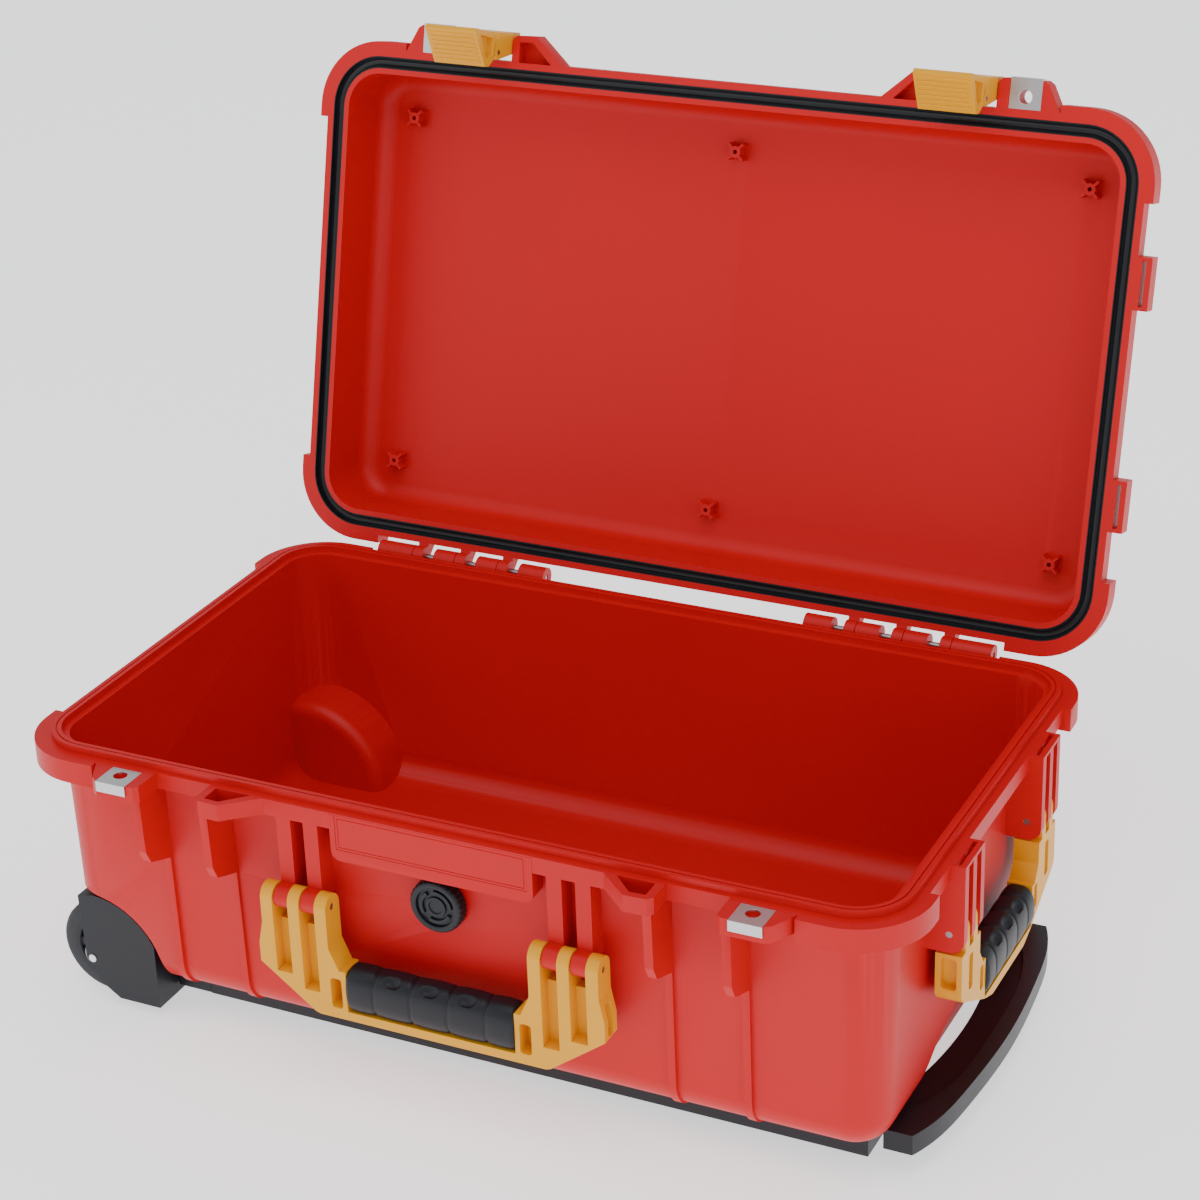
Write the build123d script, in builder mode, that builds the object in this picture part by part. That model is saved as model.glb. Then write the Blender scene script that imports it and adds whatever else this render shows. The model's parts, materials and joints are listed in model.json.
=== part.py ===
"""Rolling hard-shell carry-on case, lid open.

Frame: millimetres, +Z up.  The origin lies on the ground under the centre of the tub.
+X points to the pull-handle end, -X to the wheel end, -Y to the latch side, +Y to the hinges.
Heights written as "below the rim" are negative and start at the rim plane of the tub.
"""
from build123d import *
import os

os.makedirs("parts", exist_ok=True)

# ---------------------------------------------------------------- driving dimensions
inner_length = 502.0        # clear opening along X
inner_width = 279.0         # clear opening along Y
tub_depth = 148.0           # inside depth of the tub
lid_depth = 44.5            # inside depth of the lid
wall = 3.5                  # shell wall
rim_height = 176.0          # rim plane of the tub above the ground
draft = 1.0                 # draft of the side walls, degrees
corner_radius = 22.0        # inside corner radius in plan
floor_fillet = 17.0         # inside fillet between floor and walls
lid_open_angle = 104.0      # lid angle when it rests on its stop

# rim and seal
flange_reach = 15.0         # flange edge beyond the inner opening
tub_flange_height = 10.0
lid_flange_height = 12.0
bumper_reach = 5.0          # corner bumpers beyond the flange edge
bumper_height = 14.0
bumper_length = 54.0        # along X from the flange corner
bumper_width = 45.0         # along Y from the flange corner
parting_gap = 0.4           # between the closed flanges
tongue_inset = 4.2          # tongue's inner face beyond the inner opening
tongue_width = 5.7
tongue_height = 4.0
groove_width = 0.8
groove_depth = 0.8
seal_clearance = 0.4        # between tongue and seal
seal_thickness = 3.6
seal_lip = 0.5              # thin lips up the channel walls

# front ears, ribs and latches
ear_reach = 17.5            # ear tips beyond the flange edge, along -Y
padlock_inset = 60.4        # padlock holes from the end of the opening
padlock_reach = 7.6         # padlock holes beyond the flange edge
padlock_hole = 8.0
ear_block_width = 36.0      # block that holds one padlock ear
pocket_depth = 8.0          # pockets moulded into the inner ears
plate_thickness = 1.0
plate_width = 19.0
rib_inset_outer = 73.0      # deep ribs from the end of the opening
rib_inset_inner = 117.0
rib_width = 5.0
rib_drop = 60.0             # lower end of the deep ribs below the rim
bead_width = 4.6            # thin beads that run on down the wall
bead_rise = 2.2
latch_cheek = 4.0
latch_inset = 95.1          # latch centres from the end of the opening
latch_width = 34.8
latch_notch = 2.5           # flange edge set back behind the latch
latch_pin_half = 21.5
latch_pivot_reach = 9.5     # beyond the flange edge
latch_pivot_z = 6.6         # above the rim plane when the lid is closed
lever_pivot_reach = 5.5
lever_pivot_z = -16.5
latch_pin_radius = 1.6
pin_clearance = 0.05        # running fit of every hinge pin, on radius

# hinges
hinge_reach = 8.2           # hinge axis beyond the flange edge
hinge_drop = 1.74           # hinge axis below the rim plane
hinge_radius = 6.5
hinge_pin_radius = 1.9
hinge_start = 88.0          # inner end of each hinge group from the centre
inner_knuckle = 18.0
middle_knuckle = 15.0
outer_knuckle = 25.0
lid_knuckle = 7.0
knuckle_gap = 8.0           # the pin shows here
knuckle_clearance = 0.4

# handles
handle_pitch = 17.0         # between the two tub ribs of one front mount
front_mount_x = 82.5
mount_rib = 9.0
front_pin_reach = 3.5       # front handle pins beyond the flange edge
front_pin_drop = 57.0
knuckle_radius = 6.5
handle_pin_radius = 2.0
handle_drop = 67.0          # handle pin down to the lower edge of the bar
handle_thickness = 15.0
prong_clearance = 0.4       # each side of a prong
prong_width = 7.4           # outer prongs
side_mount_y = 64.3
side_rib = 5.5
side_slot = 7.0
side_pin_reach = 15.0       # side handle pins beyond the inner opening
side_pin_drop = 42.0
side_rib_drop = 53.0
side_mount_overhang = 23.5  # tips of the side mounts beyond the opening
grip_half = 52.0            # front grip, half length
side_grip_half = 40.0

# wheels and undercarriage
wheel_inset = 7.5           # wheel centre from the end of the opening
wheel_drop = 145.6          # wheel centre below the rim
wheel_side_inset = 22.0     # middle of the tyre from the side of the opening
wheel_radius = 30.0
wheel_width = 17.0
hub_radius = 21.0
bearing_radius = 8.0
axle_radius = 4.0
axle_tip_radius = 2.5       # where the axle shows in the housing
running_clearance = 0.05
well_radius = 48.6
well_wall = 5.0
well_inset = 32.0           # inner face of the wheel well from the side
housing_inset = 1.0         # outer face of the wheel housing from the side
housing_wall = 3.5
housing_drop = 169.5        # housing's lower edge below the rim
tray_side_inset = 20.5
tray_thickness = 13.0
tray_seam_inset = 76.0      # seam between tray and frame
tray_end_inset = 14.0
channel_side_inset = 69.5   # middle of the tubes from the side
channel_width = 30.0
runner_start_inset = 101.0  # runners under the tray, from the wheel end
runner_end_inset = 46.0     # and from the handle end
strut_inset = 36.0          # wheel-side edge of the frame
strut_side_inset = 34.5
strut_step = 17.0           # step in the frame's sides, clear of the wheel housings
strut_thickness = 13.0
screw_radius = 1.9
screw_head_radius = 4.0
screw_head = 2.4
screw_margin = 37.0         # last screws from the tray's end
screw_side = 14.0           # screws from the tray's sides

# pull handle
inner_tube = 15.0
tube_wall = 1.2
tube_slide = 0.35           # clearance between the tubes, each side
tube_start_inset = 61.0
outer_tube_end_inset = 26.0
pull_side_inset = 25.5
pull_overhang = 25.0        # outermost point of the bow beyond the opening
pull_end_overhang = 11.0    # outer edge at the bow's ends
pull_inner_inset = 7.5
pull_top_drop = 148.0
pull_thickness = 12.5
shelf_side_inset = 53.5     # lowered part of the bow's top
shelf_depth = 1.8
socket_half = 10.5          # half width of the sockets that hold the inner tubes
trigger_half = 48.0
trigger_travel = 2.5
recess_side_inset = 59.5    # finger recess in the end wall
recess_height = 33.0
recess_depth = 12.0

# lid bosses
boss_inset = 27.5
boss_side_inset = 28.0
boss_radius = 3.6
boss_reach = 7.0
boss_height = 8.0
pilot_radius = 1.3

# label plate and padlock plates
label_length = 116.0
label_height = 21.0
label_drop = 11.5
plate_depth = 17.0
plate_lip = 6.4

# valve
valve_stem_radius = 9.0
valve_x = -1.0
valve_drop = 48.0
valve_radius = 16.0
valve_stand = 1.0           # cap above the wall, filled by its seal
valve_cap_height = 7.0
valve_nut_height = 5.0

# ---------------------------------------------------------------- derived values
half_length = inner_length / 2
half_width = inner_width / 2
flange_y = half_width + flange_reach
ear_front = flange_y + ear_reach
padlock_x = half_length - padlock_inset
padlock_y = flange_y + padlock_reach
rib_x_outer = half_length - rib_inset_outer
rib_x_inner = half_length - rib_inset_inner
latch_x = half_length - latch_inset
latch_pivot_y = -(flange_y + latch_pivot_reach)
lever_pivot_y = -(flange_y + lever_pivot_reach)
hinge_y = flange_y + hinge_reach
front_pin_y = -(flange_y + front_pin_reach)
side_pin_x = half_length + side_pin_reach
side_mount_reach = half_length + side_mount_overhang
wheel_x = -(half_length - wheel_inset)
wheel_y = half_width - wheel_side_inset
well_face = half_width - well_inset
housing_face = half_width - housing_inset
tray_half_width = half_width - tray_side_inset
tray_seam_x = -(half_length - tray_seam_inset)
tray_end_x = half_length - tray_end_inset
channel_y = half_width - channel_side_inset
runner_start_x = -(half_length - runner_start_inset)
runner_end_x = half_length - runner_end_inset
strut_x = -(half_length - strut_inset)
strut_half_width = half_width - strut_side_inset
tube_start_x = -(half_length - tube_start_inset)
outer_tube_end_x = half_length - outer_tube_end_inset
pull_half_width = half_width - pull_side_inset
pull_reach = half_length + pull_overhang
pull_end_x = half_length + pull_end_overhang
pull_inner_x = half_length - pull_inner_inset
shelf_half = half_width - shelf_side_inset
recess_half_width = half_width - recess_side_inset
boss_x = half_length - boss_inset
boss_y = half_width - boss_side_inset
tub_floor = rim_height - tub_depth - wall          # underside of the tub
hinge_z = rim_height - hinge_drop
wheel_z = rim_height - wheel_drop
channel_inset = tongue_inset - seal_clearance - seal_lip
channel_reach = tongue_inset + tongue_width + seal_clearance + seal_lip
channel_depth = tongue_height + seal_clearance + seal_thickness
wall_y = half_width + wall
plate_y = -ear_front + plate_depth / 2
outer_tube = inner_tube + 2 * (tube_slide + tube_wall)
tube_z = tub_floor - outer_tube / 2
prong_half = handle_pitch / 2 + mount_rib / 2 + prong_clearance + prong_width
screw_places = [
    (x, y)
    for x in (-140, 0, 140, tray_end_x - screw_margin)
    for y in (screw_side - tray_half_width, tray_half_width - screw_side)
]

LID = Plane(
    Location((0, hinge_y, hinge_z), (-lid_open_angle, 0, 0))
    * Location((0, -hinge_y, rim_height - hinge_z))
)


def lid_plane(height):
    """Plane parallel to the lid's rim, height above the rim when the lid is closed."""
    return LID.offset(height)


def tub_section(x):
    """Cross-section plane of the tub at x: local x is Y, local y is height above the rim."""
    return Plane(origin=(x, 0, rim_height), x_dir=(0, 1, 0), z_dir=(1, 0, 0))


def lid_section(x):
    """The same cross-section plane, carried by the open lid."""
    return Plane(origin=LID.from_local_coords(Vector(x, 0, 0)), x_dir=LID.y_dir, z_dir=(1, 0, 0))


def rim_outline(reach, mode=Mode.ADD):
    """Rounded rectangle that follows the opening at a distance."""
    RectangleRounded(
        inner_length + 2 * reach, inner_width + 2 * reach, corner_radius + reach, mode=mode
    )


def save(part, name):
    part.label = name
    export_step(part, f"parts/{name}.step")


sides = {"left": -1, "right": 1}


def ear_outlines():
    """Padlock ears and pocket ears of the latch side, seen from above."""
    for side in sides.values():
        Polygon(
            (side * 213, -flange_y + 2),
            (side * 211, -flange_y - 2),
            (side * 204, -ear_front + 2),
            (side * 201, -ear_front),
            (side * 176.5, -ear_front),
            (side * 174, -ear_front + 2.5),
            (side * 173.7, -flange_y + 2),
            align=None,
        )
        Polygon(
            (side * 138, -flange_y + 2),
            (side * 138, -ear_front + 4.5),
            (side * 135, -ear_front + 1.5),
            (side * 122, -ear_front + 1),
            (side * 101, -flange_y + 2),
            align=None,
        )


def pocket_outlines():
    """Holes of the pocket ears."""
    for side in sides.values():
        Polygon(
            (side * 133, -flange_y + 0.2),
            (side * 133, -ear_front + 5.5),
            (side * 124, -ear_front + 5),
            (side * 111, -flange_y + 0.2),
            align=None,
        )


# ---------------------------------------------------------------- tub
tub_knuckles = []           # (distance from the centre, width)
lid_knuckles = []
place = hinge_start
for width in (inner_knuckle, middle_knuckle, middle_knuckle, outer_knuckle):
    tub_knuckles.append((place, width))
    place += width + knuckle_gap
    lid_knuckles.append((place, lid_knuckle))
    place += lid_knuckle + knuckle_clearance
lid_knuckles.pop()
hinge_end = sum(tub_knuckles[-1])

with BuildPart() as tub_outer:
    with BuildSketch(Plane.XY.offset(rim_height)):
        rim_outline(wall)
    extrude(amount=-(tub_depth + wall), taper=draft)
    fillet(tub_outer.faces().sort_by(Axis.Z)[0].edges(), radius=floor_fillet + wall)

with BuildPart() as tub_beads:
    with BuildSketch(Plane.XY.offset(rim_height)):
        rim_outline(wall + bead_rise)
    extrude(amount=-(tub_depth + wall + 1.0), taper=draft)
    fillet(tub_beads.faces().sort_by(Axis.Z)[0].edges(), radius=floor_fillet + wall + bead_rise)
    with BuildSketch(Plane.XY.offset(rim_height - rib_drop + 8)):
        for x in (-rib_x_outer, -rib_x_inner, rib_x_inner, rib_x_outer):
            with Locations((x, -half_width)):
                Rectangle(bead_width, 40)
    extrude(amount=-(tub_depth + wall), mode=Mode.INTERSECT)

with BuildPart() as tub_cavity:
    with BuildSketch(Plane.XY.offset(rim_height)):
        rim_outline(0)
    extrude(amount=-tub_depth, taper=draft)
    fillet(tub_cavity.faces().sort_by(Axis.Z)[0].edges(), radius=floor_fillet)

well_centre = (wheel_x + 3.5, rim_height - 147.0)

with BuildPart() as well_bulges:
    for side in sides.values():
        with BuildSketch(Plane.XZ.offset(-side * (well_face - wall))):
            with Locations(well_centre):
                Circle(well_radius + well_wall)
        extrude(amount=-side * (wall_y - well_face))
    fillet(
        well_bulges.edges().filter_by(GeomType.CIRCLE).group_by(SortBy.DISTANCE)[0], radius=8
    )

with BuildPart() as inner_bulges:
    add(well_bulges.part)
    with BuildSketch(Plane.YZ.offset(half_length - recess_depth)):
        with Locations((0, tub_floor)):
            Ellipse(recess_half_width + wall, recess_height + wall)
    extrude(amount=recess_depth + wall)
    add(tub_outer.part, mode=Mode.INTERSECT)

with BuildPart() as base_shell:
    add(tub_outer.part)
    add(tub_beads.part)
    # flange and corner bumpers
    with BuildSketch(Plane.XY.offset(rim_height)):
        rim_outline(flange_reach)
    extrude(amount=-tub_flange_height)
    with BuildSketch(Plane.XY.offset(rim_height)):
        rim_outline(flange_reach + bumper_reach)
        Rectangle(2 * (half_length + flange_reach - bumper_length), 500, mode=Mode.SUBTRACT)
        Rectangle(700, 2 * (half_width + flange_reach - bumper_width), mode=Mode.SUBTRACT)
    extrude(amount=-bumper_height)
    # ears of the latch side
    with BuildSketch(Plane.XY.offset(rim_height)):
        ear_outlines()
    extrude(amount=-tub_flange_height)
    # deep ribs under the ears
    for x in (-rib_x_outer, -rib_x_inner, rib_x_inner, rib_x_outer):
        with BuildSketch(tub_section(x - rib_width / 2)):
            with BuildLine():
                FilletPolyline(
                    (-wall_y + 2, -1),
                    (-ear_front + 3.5, -1),
                    (-ear_front + 5, -44),
                    (-ear_front + 9, -52),
                    (-wall_y + 2, -rib_drop),
                    radius=2.5,
                )
                Line((-wall_y + 2, -rib_drop), (-wall_y + 2, -1))
            make_face()
        extrude(amount=rib_width)
    # front handle mounts: two hanging ribs each, with a knuckle at the lower end
    for mount in (-front_mount_x, front_mount_x):
        for x in (mount - handle_pitch / 2, mount + handle_pitch / 2):
            with BuildSketch(tub_section(x - mount_rib / 2)):
                with Locations(((-wall_y - flange_y) / 2 + 0.5, -front_pin_drop / 2)):
                    Rectangle(flange_y - wall_y + 1, front_pin_drop)
                with Locations((front_pin_y, -front_pin_drop)):
                    Circle(knuckle_radius)
                with Locations((front_pin_y + knuckle_radius, -front_pin_drop)):
                    Rectangle(2 * knuckle_radius, 2 * knuckle_radius)
            extrude(amount=mount_rib)
    # skirt between the front mounts, open below
    with BuildSketch(Plane.XZ.offset(wall_y - 1)):
        with Locations((0, rim_height - 15)):
            RectangleRounded(123, 28, 6)
        with Locations((0, rim_height - 7)):
            Rectangle(123, 12)
    extrude(amount=flange_y - wall_y + 1.2)
    # side handle mounts: three ribs each, with two slots between
    for mount in (-side_mount_y, side_mount_y):
        mount_width = 3 * side_rib + 2 * side_slot
        with BuildSketch(Plane.XY.offset(rim_height)):
            with Locations(((side_mount_reach + half_length) / 2, mount)):
                Rectangle(side_mount_reach - half_length, mount_width)
        extrude(amount=-tub_flange_height)
        for step in (-1, 0, 1):
            y = mount + step * (side_rib + side_slot)
            with BuildSketch(Plane.XZ.offset(-y - side_rib / 2)):
                with BuildLine():
                    FilletPolyline(
                        (half_length, rim_height - 1),
                        (side_mount_reach, rim_height - 1),
                        (side_mount_reach, rim_height - side_rib_drop),
                        (half_length, rim_height - side_rib_drop),
                        radius=(0.5, 8),
                    )
                    Line((half_length, rim_height - side_rib_drop), (half_length, rim_height - 1))
                make_face()
            extrude(amount=side_rib)
    # hinge knuckles of the tub
    for side in sides.values():
        for start, width in tub_knuckles:
            with BuildSketch(tub_section(side * start)):
                with Locations((hinge_y, -hinge_drop)):
                    Circle(hinge_radius)
                with BuildLine():
                    Polyline(
                        (flange_y - 1, -tub_flange_height),
                        (flange_y - 1, -2),
                        (hinge_y - 4, hinge_radius - hinge_drop - 3.2),
                        (hinge_y, -hinge_radius - hinge_drop),
                        close=True,
                    )
                make_face()
            extrude(amount=side * width)
    # cavity, with the wheel wells and the wall of the finger recess standing in it
    add(tub_cavity.part, mode=Mode.SUBTRACT)
    add(inner_bulges.part)
    for side in sides.values():
        with BuildSketch(Plane.XZ.offset(-side * well_face)):
            with Locations(well_centre):
                Circle(well_radius)
        extrude(amount=-side * 60, mode=Mode.SUBTRACT)
    # tongue of the seal, with a fine groove along its crest
    with BuildSketch(Plane.XY.offset(rim_height - 0.5)):
        rim_outline(tongue_inset + tongue_width)
        rim_outline(tongue_inset, Mode.SUBTRACT)
    extrude(amount=tongue_height + 0.5)
    with BuildSketch(Plane.XY.offset(rim_height + tongue_height)):
        rim_outline(tongue_inset + (tongue_width + groove_width) / 2)
        rim_outline(tongue_inset + (tongue_width - groove_width) / 2, Mode.SUBTRACT)
    extrude(amount=-groove_depth, mode=Mode.SUBTRACT)
    # padlock holes, seats of their steel plates, and pocket holes
    with BuildSketch(Plane.XY.offset(rim_height)):
        with Locations((-padlock_x, -padlock_y), (padlock_x, -padlock_y)):
            Circle(padlock_hole / 2)
    extrude(amount=-tub_flange_height, mode=Mode.SUBTRACT)
    with BuildSketch(Plane.XY.offset(rim_height)):
        pocket_outlines()
    extrude(amount=-pocket_depth, mode=Mode.SUBTRACT)
    with BuildSketch(Plane.XY.offset(rim_height)):
        with Locations((-padlock_x, plate_y), (padlock_x, plate_y)):
            Rectangle(plate_width + 0.1, plate_depth)
    extrude(amount=-plate_thickness, mode=Mode.SUBTRACT)
    # flange set back behind each latch
    with BuildSketch(Plane.XY.offset(rim_height)):
        with Locations((-latch_x, -flange_y), (latch_x, -flange_y)):
            Rectangle(173.7 - 138, 2 * latch_notch)
    extrude(amount=-tub_flange_height, mode=Mode.SUBTRACT)
    # slots of the side mounts and every handle pin's bore
    for mount in (-side_mount_y, side_mount_y):
        for step in (-0.5, 0.5):
            with BuildSketch(Plane.XY.offset(rim_height - 2.0)):
                with Locations((side_pin_x + 1, mount + step * (side_rib + side_slot))):
                    Rectangle(15, side_slot)
            extrude(amount=-side_rib_drop, mode=Mode.SUBTRACT)
        with BuildSketch(Plane.XY.offset(rim_height)):
            with Locations((side_pin_x + 4, mount)):
                Rectangle(2.4, 26)
        extrude(amount=-3, mode=Mode.SUBTRACT)
        with BuildSketch(Plane.XZ.offset(-mount - 30)):
            with Locations((side_pin_x, rim_height - side_pin_drop)):
                Circle(handle_pin_radius)
        extrude(amount=60, mode=Mode.SUBTRACT)
    for mount in (-front_mount_x, front_mount_x):
        with BuildSketch(tub_section(mount - 30)):
            with Locations((front_pin_y, -front_pin_drop)):
                Circle(handle_pin_radius)
        extrude(amount=60, mode=Mode.SUBTRACT)
    # hinge pin bores
    for side in sides.values():
        with BuildSketch(tub_section(side * hinge_start)):
            with Locations((hinge_y, -hinge_drop)):
                Circle(hinge_pin_radius)
        extrude(amount=side * (hinge_end - hinge_start), mode=Mode.SUBTRACT)
    # skirt hollow behind the front panel, label recess
    with BuildSketch(Plane.XZ.offset(wall_y + 0.3)):
        with Locations((0, rim_height - tub_flange_height - 12)):
            Rectangle(116, 24)
    extrude(amount=flange_y - wall_y - 2.8, mode=Mode.SUBTRACT)
    with BuildSketch(Plane.XZ.offset(flange_y + 1)):
        with Locations((0, rim_height - label_drop)):
            Rectangle(label_length + 0.3, label_height + 0.3)
    extrude(amount=-1.6, mode=Mode.SUBTRACT)
    # valve seat and hole
    with BuildSketch(Plane.XZ.offset(half_width - 1.5)):
        with Locations((valve_x, rim_height - valve_drop)):
            Circle(valve_radius + 0.5)
    extrude(amount=wall + 1.5)
    with BuildSketch(Plane.XZ.offset(wall_y + 5)):
        with Locations((valve_x, rim_height - valve_drop)):
            Circle(valve_stem_radius)
    extrude(amount=-30, mode=Mode.SUBTRACT)
    # finger recess for the pull handle, let into the end wall
    with BuildSketch(Plane.YZ.offset(half_length - recess_depth + wall)):
        with Locations((0, tub_floor)):
            Ellipse(recess_half_width, recess_height)
    extrude(amount=30, mode=Mode.SUBTRACT)
    # pilot holes of the tray screws
    with BuildSketch(Plane.XY.offset(tub_floor)):
        with Locations(*screw_places):
            Circle(screw_radius)
    extrude(amount=wall - 0.5, mode=Mode.SUBTRACT)
# the two padlock ears are pieces of their own, butted against the flange
ear_block = Plane.XY.offset(rim_height - tub_flange_height)
for name, side in sides.items():
    with BuildPart() as base_ear:
        add(base_shell.part)
        with BuildSketch(ear_block):
            with Locations((side * padlock_x, -flange_y)):
                Rectangle(ear_block_width, ear_front - flange_y + 1, align=(Align.CENTER, Align.MAX))
        extrude(amount=tub_flange_height, mode=Mode.INTERSECT)
    save(base_ear.part, f"base_ear_{name}")
with BuildPart() as tub_body:
    add(base_shell.part)
    with BuildSketch(ear_block):
        with Locations((-padlock_x, -flange_y), (padlock_x, -flange_y)):
            Rectangle(ear_block_width, ear_front - flange_y + 1, align=(Align.CENTER, Align.MAX))
    extrude(amount=tub_flange_height, mode=Mode.SUBTRACT)
save(tub_body.part, "base_shell")


# ---------------------------------------------------------------- lid
with BuildPart() as lid_outer:
    with BuildSketch(lid_plane(parting_gap)):
        rim_outline(wall)
    extrude(amount=lid_depth + wall - parting_gap, taper=draft)
    fillet(lid_outer.faces().sort_by(Axis(LID.origin, LID.z_dir))[-1].edges(), radius=14)

with BuildPart() as lid_cavity:
    with BuildSketch(lid_plane(0)):
        rim_outline(0)
    extrude(amount=lid_depth, taper=2 * draft)
    fillet(lid_cavity.faces().sort_by(Axis(LID.origin, LID.z_dir))[-1].edges(), radius=11)

boss_places = [(x, y) for x in (-boss_x, 0, boss_x) for y in (-boss_y, boss_y)]

with BuildPart() as lid_shell:
    add(lid_outer.part)
    with BuildSketch(lid_plane(parting_gap)):
        rim_outline(flange_reach)
        ear_outlines()
    extrude(amount=lid_flange_height - parting_gap)
    with BuildSketch(lid_plane(parting_gap)):
        rim_outline(flange_reach + bumper_reach)
        Rectangle(2 * (half_length + flange_reach - bumper_length), 500, mode=Mode.SUBTRACT)
        Rectangle(700, 2 * (half_width + flange_reach - bumper_width), mode=Mode.SUBTRACT)
    extrude(amount=bumper_height)
    # pads of the end wall, mirrored from the side handle mounts
    with BuildSketch(lid_plane(parting_gap)):
        for y in (-side_mount_y, side_mount_y):
            with Locations(((side_mount_reach + half_length) / 2, y)):
                Rectangle(side_mount_reach - half_length, 3 * side_rib + 2 * side_slot)
    extrude(amount=lid_flange_height - parting_gap)
    # hinge arms
    for side in sides.values():
        for start, width in lid_knuckles:
            with BuildSketch(lid_section(side * start)):
                with Locations((hinge_y, -hinge_drop)):
                    Circle(hinge_radius)
                with BuildLine():
                    Polyline(
                        (flange_y + 2, parting_gap),
                        (flange_y - 1, parting_gap),
                        (flange_y - 1, lid_flange_height - 1),
                        (hinge_y - 1, hinge_radius - hinge_drop),
                        (hinge_y - 2, -hinge_drop + 1),
                        close=True,
                    )
                make_face()
            extrude(amount=side * width)
    add(lid_cavity.part, mode=Mode.SUBTRACT)
    # screw bosses for a panel: a post with four fins and a pilot hole
    for x, y in boss_places:
        with BuildSketch(lid_plane(lid_depth - boss_height)):
            with Locations((x, y)):
                Circle(boss_radius)
                Rectangle(2 * boss_reach, 1.6, rotation=45)
                Rectangle(2 * boss_reach, 1.6, rotation=-45)
        extrude(amount=boss_height + 1)
    with BuildSketch(lid_plane(lid_depth - boss_height)):
        with Locations(*boss_places):
            Circle(pilot_radius)
    extrude(amount=boss_height - 1, mode=Mode.SUBTRACT)
    # seal channel
    with BuildSketch(lid_plane(0)):
        rim_outline(channel_reach)
        rim_outline(channel_inset, Mode.SUBTRACT)
    extrude(amount=channel_depth, mode=Mode.SUBTRACT)
    # padlock holes, pockets, slots of the end pads, plate seats
    with BuildSketch(lid_plane(0)):
        with Locations((-padlock_x, -padlock_y), (padlock_x, -padlock_y)):
            Circle(padlock_hole / 2)
        with Locations((side_pin_x + 4, -side_mount_y), (side_pin_x + 4, side_mount_y)):
            Rectangle(2.4, 26)
    extrude(amount=lid_flange_height + 1, mode=Mode.SUBTRACT)
    with BuildSketch(lid_plane(0)):
        pocket_outlines()
    extrude(amount=pocket_depth, mode=Mode.SUBTRACT)
    with BuildSketch(lid_plane(parting_gap)):
        with Locations((-padlock_x, plate_y), (padlock_x, plate_y)):
            Rectangle(plate_width + 0.1, plate_depth)
    extrude(amount=plate_thickness, mode=Mode.SUBTRACT)
    # bores of the hinge pins and latch pins
    for side in sides.values():
        with BuildSketch(lid_section(side * hinge_start)):
            with Locations((hinge_y, -hinge_drop)):
                Circle(hinge_pin_radius + pin_clearance)
        extrude(amount=side * (hinge_end - hinge_start), mode=Mode.SUBTRACT)
        with BuildSketch(lid_section(side * (latch_x - latch_pin_half))):
            with Locations((latch_pivot_y, latch_pivot_z)):
                Circle(latch_pin_radius)
        extrude(amount=side * 2 * latch_pin_half, mode=Mode.SUBTRACT)
save(lid_shell.part, "lid_shell")

with BuildPart() as lid_seal:
    with BuildSketch(lid_plane(channel_depth)):
        rim_outline(channel_reach)
        rim_outline(channel_inset, Mode.SUBTRACT)
    extrude(amount=-seal_thickness)
    with BuildSketch(lid_plane(channel_depth)):
        for reach in (channel_reach, channel_inset + seal_lip):
            rim_outline(reach)
            rim_outline(reach - seal_lip, Mode.SUBTRACT)
    extrude(amount=parting_gap - channel_depth)
save(lid_seal.part, "lid_seal")

# ---------------------------------------------------------------- pins, plates, label, valve
for name, side in sides.items():
    with BuildPart() as hinge_pin:
        with BuildSketch(tub_section(side * (hinge_start + 0.5))):
            with Locations((hinge_y, -hinge_drop)):
                Circle(hinge_pin_radius)
        extrude(amount=side * (hinge_end - hinge_start - 3))
    save(hinge_pin.part, f"hinge_pin_{name}")

    seats = {"base": (Plane.XY.offset(rim_height), -1), "lid": (lid_plane(parting_gap), 1)}
    for owner, (face, lip) in seats.items():
        with BuildPart() as padlock_plate:
            with BuildSketch(face):
                with Locations((side * padlock_x, plate_y)):
                    Rectangle(plate_width, plate_depth)
                with Locations((side * padlock_x, -padlock_y)):
                    Circle(padlock_hole / 2, mode=Mode.SUBTRACT)
            extrude(amount=lip * plate_thickness)
            with BuildSketch(face):
                with Locations((side * padlock_x, -ear_front - plate_thickness / 2)):
                    Rectangle(plate_width, plate_thickness)
            extrude(amount=lip * plate_lip)
        save(padlock_plate.part, f"padlock_plate_{owner}_{name}")

with BuildPart() as label_plate:
    with BuildSketch(Plane.XZ.offset(flange_y - 0.6)):
        with Locations((0, rim_height - label_drop)):
            RectangleRounded(label_length, label_height, 1)
    extrude(amount=0.6)
save(label_plate.part, "label_plate")

with BuildPart() as valve_body:
    with BuildSketch(Plane.XZ.offset(wall_y + valve_stand)):
        with Locations((valve_x, rim_height - valve_drop)):
            Circle(valve_radius)
    extrude(amount=valve_cap_height)
    chamfer(valve_body.faces().sort_by(Axis.Y)[0].edges(), length=1.5)
    with BuildSketch(Plane.XZ.offset(wall_y + valve_stand)):
        with Locations((valve_x, rim_height - valve_drop)):
            Circle(valve_stem_radius - 0.2)
    extrude(amount=-(wall + valve_stand + valve_nut_height + 3))
save(valve_body.part, "valve_body")

with BuildPart() as valve_seal:
    with BuildSketch(Plane.XZ.offset(wall_y + valve_stand)):
        with Locations((valve_x, rim_height - valve_drop)):
            Circle(valve_radius - 2)
            Circle(valve_stem_radius + 1, mode=Mode.SUBTRACT)
    extrude(amount=-valve_stand)
save(valve_seal.part, "valve_seal")

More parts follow.
